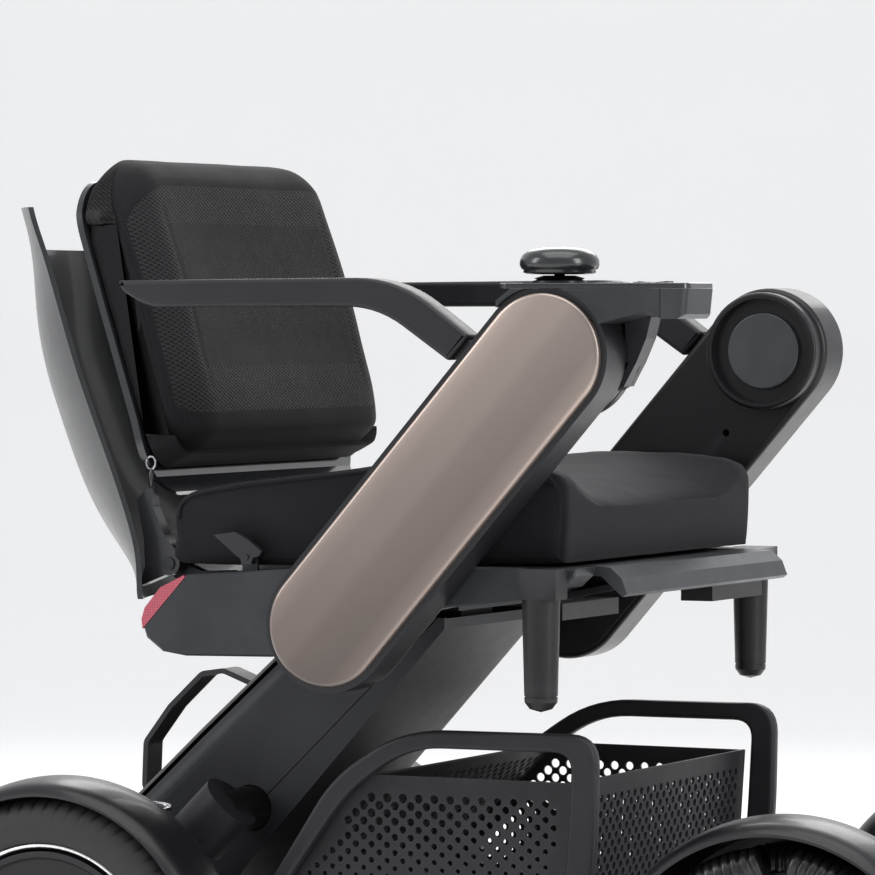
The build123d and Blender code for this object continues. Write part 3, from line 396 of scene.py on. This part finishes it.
def lerp(table, z):
    if z <= table[0][0]:
        return table[0][1]
    for (z0, a), (z1, b) in zip(table, table[1:]):
        if z <= z1:
            t = (z - z0) / (z1 - z0)
            return a + (b - a) * t
    return table[-1][1]


def smooth_lerp(table, z):
    return (lerp(table, z - 8) + 2 * lerp(table, z) + lerp(table, z + 8)) / 4


def spin_mesh(name, profile, cx, cz, side, steps, mats, body, disp=None, closed_profile=True, idx=None):
    """Profile of (outboard, radius) in mm turned about a wheel axis."""
    verts, faces, tags = [], [], []
    n = len(profile)
    for i in range(steps):
        a = 2 * math.pi * i / steps
        for j, (y, r) in enumerate(profile):
            rr = r + (disp(a, j, y, r) if disp else 0)
            verts.append((X(cx + rr * math.cos(a)), side * y / 1000, (cz + rr * math.sin(a)) / 1000))
    for i in range(steps):
        k = (i + 1) % steps
        for j in range(n if closed_profile else n - 1):
            l = (j + 1) % n
            faces.append((i * n + j, k * n + j, k * n + l, i * n + l))
    return new_obj(name, verts, faces, mats, body=body)


def spline(points, per=8, closed=True):
    """Rounded outline through 2-D points (Catmull-Rom, slightly tight)."""
    out = []
    n = len(points)
    rng = range(n) if closed else range(n - 1)
    for i in rng:
        if closed:
            p0, p1, p2, p3 = points[i - 1], points[i], points[(i + 1) % n], points[(i + 2) % n]
        else:
            p0, p1, p2, p3 = points[max(i - 1, 0)], points[i], points[i + 1], points[min(i + 2, n - 1)]
        for k in range(per):
            t = k / per
            out.append(tuple(
                0.5 * (2 * b + 0.7 * (c - a) * t + (2 * a - 5 * b + 4 * c - d) * 0 + 0 * t)
                if False else
                ((2 * t ** 3 - 3 * t ** 2 + 1) * b + (t ** 3 - 2 * t ** 2 + t) * 0.35 * (c - a)
                 + (-2 * t ** 3 + 3 * t ** 2) * c + (t ** 3 - t ** 2) * 0.35 * (d - b))
                for a, b, c, d in zip(p0, p1, p2, p3)))
    if not closed:
        out.append(points[-1])
    return out


def tube(name, path, r, mat, body, sides=8, closed=False):
    """Round cord along a path of row-frame points in metres."""
    pts = [Vector(p) for p in path]
    rings = []
    up = Vector((0.13, 0.97, 0.2))
    for i, p in enumerate(pts):
        t = (pts[min(i + 1, len(pts) - 1)] - pts[max(i - 1, 0)]).normalized()
        a = t.cross(up)
        if a.length < 0.2:
            a = t.cross(Vector((1, 0, 0)))
        a.normalize()
        b = t.cross(a)
        rings.append([p + (a * math.cos(q) + b * math.sin(q)) * r
                      for q in (2 * math.pi * k / sides for k in range(sides))])
    v, f, _ = rings_mesh(rings)
    return new_obj(name, v, f, [mat], body=body)


# ---------------------------------------------------------------- rear tyres, trim rings
TYRE = [(209, 97), (208.6, 106), (208.8, 114), (210.5, 121), (214, 126.5), (219, 129.8), (225, 131.2), (226.6, 131.4),
        (227.4, 129.4), (229.4, 129.4), (230.2, 131.9), (238, 132.4), (245.8, 131.9), (246.6, 129.4), (248.6, 129.4),
        (249.4, 131.4), (251, 131.2), (257, 129.8), (262, 126.5), (265.5, 121), (267.2, 114), (267.4, 106),
        (266.6, 98.5), (265.2, 97.2), (264, 97)]


def sipes(a, j, y, r):
    if not (214 < y < 224 or 252 < y < 265 or 209.5 < y <= 214) or r < 119:
        return 0.0
    ph = (a * 72 / (2 * math.pi) + (r - 120) * 0.03) % 1.0
    return -2.2 if ph < 0.24 else 0.0


for s, tag in ((-1, "right"), (1, "left")):
    o = spin_mesh("tread_tyre_" + tag, TYRE, 0, 132.5, s, 576, ["tyre"], "rear_wheel_" + tag, sipes)
    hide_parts("rear_tyre_" + tag)
    spin_mesh("trim_ring_" + tag, [(262.8, 93.4), (264.0, 93.8), (264.6, 95.2), (264.0, 96.4), (262.8, 96.8)],
              0, 132.5, s, 144, ["trim"], "rear_wheel_" + tag)


# ---------------------------------------------------------------- seat cushion
SEAT = [(79, 443.5), (75, 462), (74, 482), (84, 496), (110, 503), (140, 508), (215, 516.5), (275, 523), (350, 522.5),
        (385, 519), (398, 514), (404, 504), (404, 478), (402, 452), (397, 448.6), (340, 447), (260, 445), (182, 443.2)]
ring2d = spline(SEAT, 7)
ys = [-190, -189.7, -188.6, -186.5, -183] + [-178 + 356 * i / 66 for i in range(67)] + [183, 186.5, 188.6, 189.7, 190]
rings = []
for y in ys:
    e = 190 - abs(y)
    inset = 6.0 * (1 - min(1, e / 6.0)) ** 2
    row = []
    for x, z in ring2d:
        cx, cz = 238, 482
        top = max(0.0, min(1.0, (z - 490) / 18))
        mid = max(0.0, 1 - (abs(y) / 168) ** 3.0)
        dish = 17 * mid * top * (0.45 + 0.55 * min(1, max(0, (x - 60) / 300)))
        lip = 10 * mid * top * max(0, (x - 330) / 70) ** 2
        n = noise.noise(Vector((x * 0.018, y * 0.016, z * 0.02)))
        n2 = noise.noise(Vector((x * 0.06 + 7, y * 0.05, z * 0.05)))
        puck = 0.9 * math.sin(x * 0.35 + 2 * n) * max(0, 1 - abs(e - 9) / 9) * top
        x2 = x + (cx - x) / 165 * inset
        z2 = z + (cz - z) / 40 * inset * 0.9 - dish - lip + 1.1 * n * top + 0.4 * n2 + puck * 0.35 - 0.5 * top
        y2 = y + (math.copysign(1, y) * (-1.6 + 1.2 * n) if e < 2 else 0)
        row.append((X(x2), y2 / 1000, z2 / 1000))
    rings.append(row)
v, f, _ = rings_mesh(rings)
seat = new_obj("seat_cushion_cover", v, f, ["seat"], body="chassis")
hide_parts("seat_cushion")
PIPE = spline([(78, 478), (80, 489), (92, 497), (138, 505.5), (215, 514), (275, 520.5), (350, 520), (384, 516.5),
               (396, 508)], 8, closed=False)
for s, tag in ((-1, "right"), (1, "left")):
    tube("seat_piping_" + tag, [(X(x), s * 0.1884, z / 1000 - 0.0006) for x, z in PIPE], 0.0017, "seat", "chassis")
    tube("seat_stitch_" + tag, [(X(x), s * 0.1868, z / 1000 + 0.0012) for x, z in PIPE], 0.0008, "gusset", "chassis")

# ---------------------------------------------------------------- back cushion
BACK = [(-13, 739), (-10.5, 715), (12.5, 641), (40, 555), (53, 518), (60, 519), (78, 529), (94, 546), (91, 575),
        (80, 615), (69, 655), (42, 733), (35, 746), (24, 754), (6, 757), (-8, 753)]
ring2d = spline(BACK, 8)
ys = [-182.8, -182.4, -181.4, -179, -175] + [-171 + 342 * i / 74 for i in range(75)] + [175, 179, 181.4, 182.4, 182.8]
rings, front = [], []
for i, (x, z) in enumerate(ring2d):
    line = 96 - (z - 540) * 0.305
    front.append(x > line - 14 and 556 < z < 738)
for y in ys:
    e = 183 - abs(y)
    over = max(0.0, abs(y) - 121)
    half = 67.5 + math.sqrt(max(0.0, 62.2 ** 2 - over ** 2))
    low = 104 + math.sqrt(max(0.0, 24.0 ** 2 - max(0.0, abs(y) - 160) ** 2))
    fz = half / 129.7
    inset = 5 * (1 - min(1, e / 5)) ** 2
    row = []
    for k, (x, z) in enumerate(ring2d):
        z2 = 636 + (z - 636) * fz if z > 636 else 636 + (z - 636) * low / 128.0
        x2 = x - 0.3156 * (z2 - z)
        line_mid = 41 - 0.3156 * (z2 - 640)
        depth = x2 - line_mid
        hollow = 0.0
        if front[k]:
            dz = min(1, min(z2 - 560, 740 - z2) / 50) if 560 < z2 < 740 else 0
            hollow = 9 * max(0, 1 - (abs(y) / 150) ** 2) * max(0, dz)
            band = abs(abs(y) - 138)
            if band < 3 and dz > 0.3:
                hollow += 1.6 * (1 - band / 3)
        n = noise.noise(Vector((x2 * 0.03, y * 0.02, z2 * 0.022)))
        w = noise.noise(Vector((x2 * 0.01, 3 + y * 0.01, z2 * 0.075)))
        side_w = max(0, 1 - e / 14)
        roll = 20 * max(0, 1 - e / 46) ** 2 if depth > 0 else 0
        thin = 7 if depth > 0 else 0
        x3 = x2 - hollow - roll - thin + 0.8 * n - math.copysign(min(abs(depth), inset), depth) * 0.8
        y3 = y + math.copysign(1, y) * (-1.4 + 1.3 * w) * side_w
        row.append((X(x3), y3 / 1000, (z2 + 0.4 * n) / 1000))
    rings.append(row)
v, f, _ = rings_mesh(rings)
nr = len(ring2d)
idx = []
for fi, poly in enumerate(f):
    if len(poly) > 4:
        idx.append(0)
        continue
    i, j = divmod(fi, nr)
    y = abs(ys[i] + ys[i + 1]) / 2
    z = ring2d[j][1]
    if not (front[j] and front[(j + 1) % nr]) or y > 180:
        idx.append(0)
    elif y > 138 or z > 700 or z < 590:
        idx.append(1)
    else:
        idx.append(2)
backc = new_obj("back_cushion_cover", v, f, ["gusset", "mesh_wide", "mesh_fine"], idx=idx, body="backrest")
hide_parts("back_cushion")


# ---------------------------------------------------------------- perforated basket tub
def clip(poly, region):
    """Part of a convex polygon inside a convex region (both anticlockwise)."""
    out = poly
    for (ax, ay), (bx, by) in zip(region, region[1:] + region[:1]):
        src, out = out, []
        for p, q in zip(src, src[1:] + src[:1]):
            dp = (bx - ax) * (p[1] - ay) - (by - ay) * (p[0] - ax)
            dq = (bx - ax) * (q[1] - ay) - (by - ay) * (q[0] - ax)
            if dp >= 0:
                out.append(p)
            if dp * dq < 0:
                t = dp / (dp - dq)
                out.append((p[0] + (q[0] - p[0]) * t, p[1] + (q[1] - p[1]) * t))
        if len(out) < 3:
            return []
    return out


def panel(region, radius, place, verts, faces, margin=5.0):
    """Perforated sheet: diamond cells, each with a round hole; cells at the rim stay solid."""
    A, B = 6.6, 6.0
    lo = [min(p[k] for p in region) for k in (0, 1)]
    hi = [max(p[k] for p in region) for k in (0, 1)]
    key = {}

    def vid(p):
        k = (round(p[0], 3), round(p[1], 3))
        if k not in key:
            key[k] = len(verts)
            verts.append(place(*p))
        return key[k]

    def inside(x, z, d):
        for (ax, ay), (bx, by) in zip(region, region[1:] + region[:1]):
            L = math.hypot(bx - ax, by - ay)
            if ((bx - ax) * (z - ay) - (by - ay) * (x - ax)) / L < d:
                return False
        return True

    N = 12
    for r in range(int((hi[1] - lo[1]) / B) + 3):
        for c in range(int((hi[0] - lo[0]) / (2 * A)) + 3):
            cx = lo[0] + c * 2 * A + (A if r % 2 else 0) - A
            cz = lo[1] + r * B - B
            rad = radius(cx, cz)
            if inside(cx, cz, A + margin) and rad > 0.4:
                inner, outer = [], []
                for k in range(N):
                    a = 2 * math.pi * k / N
                    inner.append(vid((cx + rad * math.cos(a), cz + rad * math.sin(a))))
                    q, t = divmod(k, N // 4)
                    t /= N // 4
                    c0 = ((A, 0), (0, B), (-A, 0), (0, -B))[q]
                    c1 = ((0, B), (-A, 0), (0, -B), (A, 0))[q]
                    outer.append((cx + c0[0] + (c1[0] - c0[0]) * t, cz + c0[1] + (c1[1] - c0[1]) * t))
                outer = [vid(p) for p in outer]
                for k in range(N):
                    l = (k + 1) % N
                    faces.append((inner[k], outer[k], outer[l], inner[l]))
            else:
                cell = []
                for c0, c1 in (((A, 0), (0, B)), ((0, B), (-A, 0)), ((-A, 0), (0, -B)), ((0, -B), (A, 0))):
                    for t in (0, 1 / 3, 2 / 3):
                        cell.append((cx + c0[0] + (c1[0] - c0[0]) * t, cz + c0[1] + (c1[1] - c0[1]) * t))
                p = clip(cell, region)
                ids = []
                for q in p:
                    i = vid(q)
                    if i not in ids:
                        ids.append(i)
                if len(ids) >= 3:
                    faces.append(tuple(ids))


TUB = [(112, 152.5), (392, 152.5), (400, 217), (404.2, 283), (236, 284), (150, 196), (112, 156)]


def side_radius(x, z):
    return max(0.7, min(3.75, 0.75 + 3.1 * ((z - 168) / 95) ** 1.0 * (1.15 - 0.5 * (x - 150) / 250)))


def wall_radius(u, w):
    return 3.2


tv, tf = [], []
for s in (-1, 1):
    panel(TUB, side_radius, lambda x, z, s=s: (X(x), s * 0.1764, z / 1000), tv, tf)
FR = [(0, 392), (65, 400), (131, 404.2)]
panel([(-176.4, 0), (176.4, 0), (176.4, 131), (-176.4, 131)], wall_radius,
      lambda y, t: (X(lerp(FR, t) - 1.2), y / 1000, (152.8 + t * 0.996) / 1000), tv, tf)
L = math.hypot(124, 128)
panel([(-176.4, 0), (176.4, 0), (176.4, L), (-176.4, L)], wall_radius,
      lambda y, t: (X(112.6 + 124 * t / L + 0.8), y / 1000, (156 + 128 * t / L - 0.8) / 1000), tv, tf)
panel([(-176.4, 113), (176.4, 113), (176.4, 392), (-176.4, 392)], lambda u, w: 2.2,
      lambda y, x: (X(x), y / 1000, 0.1538), tv, tf)
tub = new_obj("basket_mesh_tub", tv, tf, ["basket"], smooth=False, body="chassis")
sol = tub.modifiers.new("thick", "SOLIDIFY")
sol.thickness = 0.0021
sol.offset = 0
dg = bpy.context.evaluated_depsgraph_get()
tub.data = bpy.data.meshes.new_from_object(tub.evaluated_get(dg))
tub.modifiers.clear()
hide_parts("basket_tub")

# ---------------------------------------------------------------- rounded bars, knob, rollers
def rounded(pts, per=7):
    """Outline through (x, z, corner radius) points with each corner rounded."""
    out = []
    n = len(pts)
    for i, (x, z, r) in enumerate(pts):
        if r <= 0:
            out.append((x, z))
            continue
        p, a, b = Vector((x, z)), Vector(pts[i - 1][:2]), Vector(pts[(i + 1) % n][:2])
        d = min(r, 0.48 * (a - p).length, 0.48 * (b - p).length)
        s0, s1 = p + (a - p).normalized() * d, p + (b - p).normalized() * d
        for k in range(per + 1):
            t = k / per
            q = s0 * (1 - t) ** 2 + p * 2 * t * (1 - t) + s1 * t * t
            out.append((q.x, q.y))
    return out


def slab(outline, y0, y1, bev=1.6):
    """Rings of a bar cut to an outline, edges rolled over between y0 and y1."""
    n = len(outline)
    area2 = sum(outline[i][0] * outline[(i + 1) % n][1] - outline[(i + 1) % n][0] * outline[i][1] for i in range(n))
    sg = 1 if area2 > 0 else -1
    nor = []
    for i in range(n):
        t = (Vector(outline[(i + 1) % n]) - Vector(outline[i - 1])).normalized()
        nor.append((-t.y * sg, t.x * sg))
    rings = []
    for y, ins in ((y0, bev + 1.2), (y0, bev), (y0 + 0.3 * bev, 0.3 * bev), (y0 + bev, 0), (y1 - bev, 0), (y1 - 0.3 * bev, 0.3 * bev),
                   (y1, bev), (y1, bev + 1.2)):
        rings.append([(X(x + nx * ins), y / 1000, (z + nz * ins) / 1000) for (x, z), (nx, nz) in zip(outline, nor)])
    v, f, _ = rings_mesh(rings, cap0=False, cap1=False)
    for ring in (0, len(rings) - 1):
        flat = [Vector((p[0], p[2], 0)) for p in rings[ring]]
        for tri in tessellate_polygon([flat]):
            f.append(tuple(ring * n + k for k in tri))
    return v, f


def bars(name, parts, mat, body, node):
    verts, faces = [], []
    for v, f in parts:
        b = len(verts)
        verts += v
        faces += [tuple(i + b for i in q) for q in f]
    o = new_obj(name, verts, faces, [mat], body=body)
    o.data.set_sharp_from_angle(angle=math.radians(50))
    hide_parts(node)
    return o


RAIL = rounded([(150, 190, 0), (209, 281, 26), (268, 320, 34), (429, 320.5, 24), (427, 217, 60), (411, 140, 0),
                (396, 140, 0), (404, 217, 60), (409, 306.5, 16), (272, 306.5, 30), (222, 271, 24), (176, 208, 0),
                (164, 186, 0)])
TIE = rounded([(397, 140, 2), (411, 140, 2), (411, 152, 2), (397, 152, 2)], 3)
bars("basket_hoops", [slab(RAIL, 178, 190, 2.6), slab(RAIL, -190, -178, 2.6), slab(TIE, -181, 181, 1)],
     "basket", "chassis", "basket_rails")
TX, TZ = 0.6566, 0.7542


def pod(t, n):
    return (233.3 + t * TX - n * TZ, 401.3 + t * TZ + n * TX)


REST = rounded([(54, 661.5, 3), (289, 663.5, 34), (*pod(240.5, 58), 0), (*pod(240.5, 4), 0), (*pod(221, 4), 0),
                (*pod(215.5, 58), 0), (273, 641.5, 26), (80, 641, 18), (58, 653, 6)])
for s, tag in ((-1, "right"), (1, "left")):
    lo, hi = sorted((s * 219, s * 245))
    head = rounded([(54, 661.5, 3), (289, 663.5, 34), (*pod(240.5, 56), 3), (*pod(215.5, 56), 3), (273, 641.5, 26),
                    (80, 641, 18), (58, 653, 6)])
    lo2, hi2 = sorted((s * 227, s * 239))
    neck = rounded([(*pod(237, 60), 0), (*pod(237, 5), 0), (*pod(219, 5), 0), (*pod(219, 60), 0)])
    bars("armrest_bar_" + tag, [slab(head, lo, hi, 2.6), slab(neck, lo2, hi2, 1)], "armrest", "armrest_" + tag,
         "armrest_" + tag)

# mouse-shaped knob over the stick
KNOB = [(4, 637.5), (4, 665.4), (20, 665.4), (25, 665.8), (27.4, 667.0), (26.6, 668.6), (28.6, 669.6), (29.8, 672.5),
        (29.6, 676), (27.5, 680), (23, 683.3), (16, 685.3), (8, 685.9), (0.4, 686)]
kv, kf = [], []
for i in range(72):
    a = 2 * math.pi * i / 72
    for r, z in KNOB:
        kv.append((X(410.7 + r * math.cos(a)), (-216 + r * math.sin(a)) / 1000, z / 1000))
m_ = len(KNOB)
for i in range(72):
    k = (i + 1) % 72
    for j in range(m_ - 1):
        kf.append((i * m_ + j, k * m_ + j, k * m_ + j + 1, i * m_ + j + 1))
kf.append(tuple(i * m_ + m_ - 1 for i in range(72)))
kf.append(tuple(i * m_ for i in range(72))[::-1])
knob = new_obj("stick_knob", kv, kf, ["knob"], body="joystick")
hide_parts("joystick_knob")

for s, tag in ((-1, "right"), (1, "left")):
    rv, rf = [], []
    for row, start in ((217.5, 0.0), (251.5, 22.5)):
        for i in range(8):
            q = math.radians(start + 45 * i)
            c = Vector((598.7 + 108.5 * math.sin(q), s * row, 125 + 108.5 * math.cos(q)))
            t = Vector((math.cos(q), 0, -math.sin(q)))
            u = Vector((math.sin(q), 0, math.cos(q)))
            w = Vector((0, 1, 0))
            rings = []
            for k in range(65):
                d = -33 + 66 * k / 64
                r = 16.5 - (125 - math.sqrt(125 ** 2 - d * d))
                ph = (d / 7.4 + 0.5) % 1.0
                r -= 2.2 if ph < 0.3 else (0.4 if ph < 0.36 or ph > 0.94 else 0)
                rings.append([tuple((c + t * d + (u * math.cos(2 * math.pi * h / 28)
                                     + w * math.sin(2 * math.pi * h / 28)) * r) / 1000 - Vector((X0, 0, 0)))
                              for h in range(28)])
            v, f, _ = rings_mesh(rings)
            b = len(rv)
            rv += v
            rf += [tuple(z + b for z in g) for g in f]
    o = new_obj("ribbed_rollers_" + tag, rv, rf, ["roller"], body="front_wheel_" + tag)
    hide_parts("front_rollers_" + tag)

# zip pull at the lower near corner of the back cushion
tube("zip_pull_ring", [(X(50 + 4 * math.cos(a)), -0.1815, (520 + 5 * math.sin(a)) / 1000)
                       for a in (2 * math.pi * k / 24 for k in range(25))], 0.0009, "steel", "backrest")
tube("zip_pull_tab", [(X(50), -0.1815, 0.5155), (X(50.4), -0.182, 0.508), (X(50.8), -0.182, 0.5005)], 0.0019, "knob",
     "backrest")

# ---------------------------------------------------------------- stage and light
prof = [(-9, 0), (5, 0), (6.2, 0.12), (7.2, 0.5), (7.9, 1.2), (8.2, 2.2), (8.2, 9)]
sv, sf = [], []
for i, (y, z) in enumerate(prof):
    for x in (-14, 14):
        sv.append((x, y, z))
for i in range(len(prof) - 1):
    sf.append((2 * i, 2 * i + 1, 2 * i + 3, 2 * i + 2))
fm, fnt, fb, ftc = nodes_of("paper_sweep")
fn = noise_tex(fnt, ftc, 3, 3)
fnt.links.new(ramp(fnt, fn, (0.872, 0.868, 0.864), (0.882, 0.878, 0.874)), fb.inputs["Base Color"])
fb.inputs["Roughness"].default_value = 0.9
fb.inputs["Specular IOR Level"].default_value = 0.1
fb.inputs["Emission Color"].default_value = (1, 1, 1, 1)
fb.inputs["Emission Strength"].default_value = 0.2
me = bpy.data.meshes.new("floor")
me.from_pydata(sv, [], sf)
me.materials.append(fm)
me.polygons.foreach_set("use_smooth", [True] * len(me.polygons))
floor = bpy.data.objects.new("floor", me)
bpy.context.scene.collection.objects.link(floor)
floor.rotation_euler = (0, 0, math.radians(24.67))


def area(name, loc, target, size, power, size_y=None):
    d = bpy.data.lights.new(name, "AREA")
    d.shape = "RECTANGLE"
    d.size = size
    d.size_y = size_y or size
    d.energy = power
    o = bpy.data.objects.new(name, d)
    bpy.context.scene.collection.objects.link(o)
    o.location = loc
    o.rotation_euler = (Vector(target) - Vector(loc)).to_track_quat("-Z", "Y").to_euler()
    return o


area("top_soft", (0.2, -0.6, 3.4), (0, 0, 0.4), 3.0, 60)
area("left_strip", (-2.8, -2.2, 1.9), (0, 0, 0.5), 1.0, 40, 2.4)
area("right_strip", (3.0, -0.8, 1.6), (0, 0, 0.5), 0.9, 45, 2.4)
area("back_rim", (-0.8, 2.6, 2.2), (0, 0, 0.6), 2.2, 35, 1.2)
w = bpy.data.worlds.new("world")
bpy.context.scene.world = w
w.use_nodes = True
w.node_tree.nodes["Background"].inputs["Color"].default_value = (0.95, 0.97, 1, 1)
w.node_tree.nodes["Background"].inputs["Strength"].default_value = 0.62
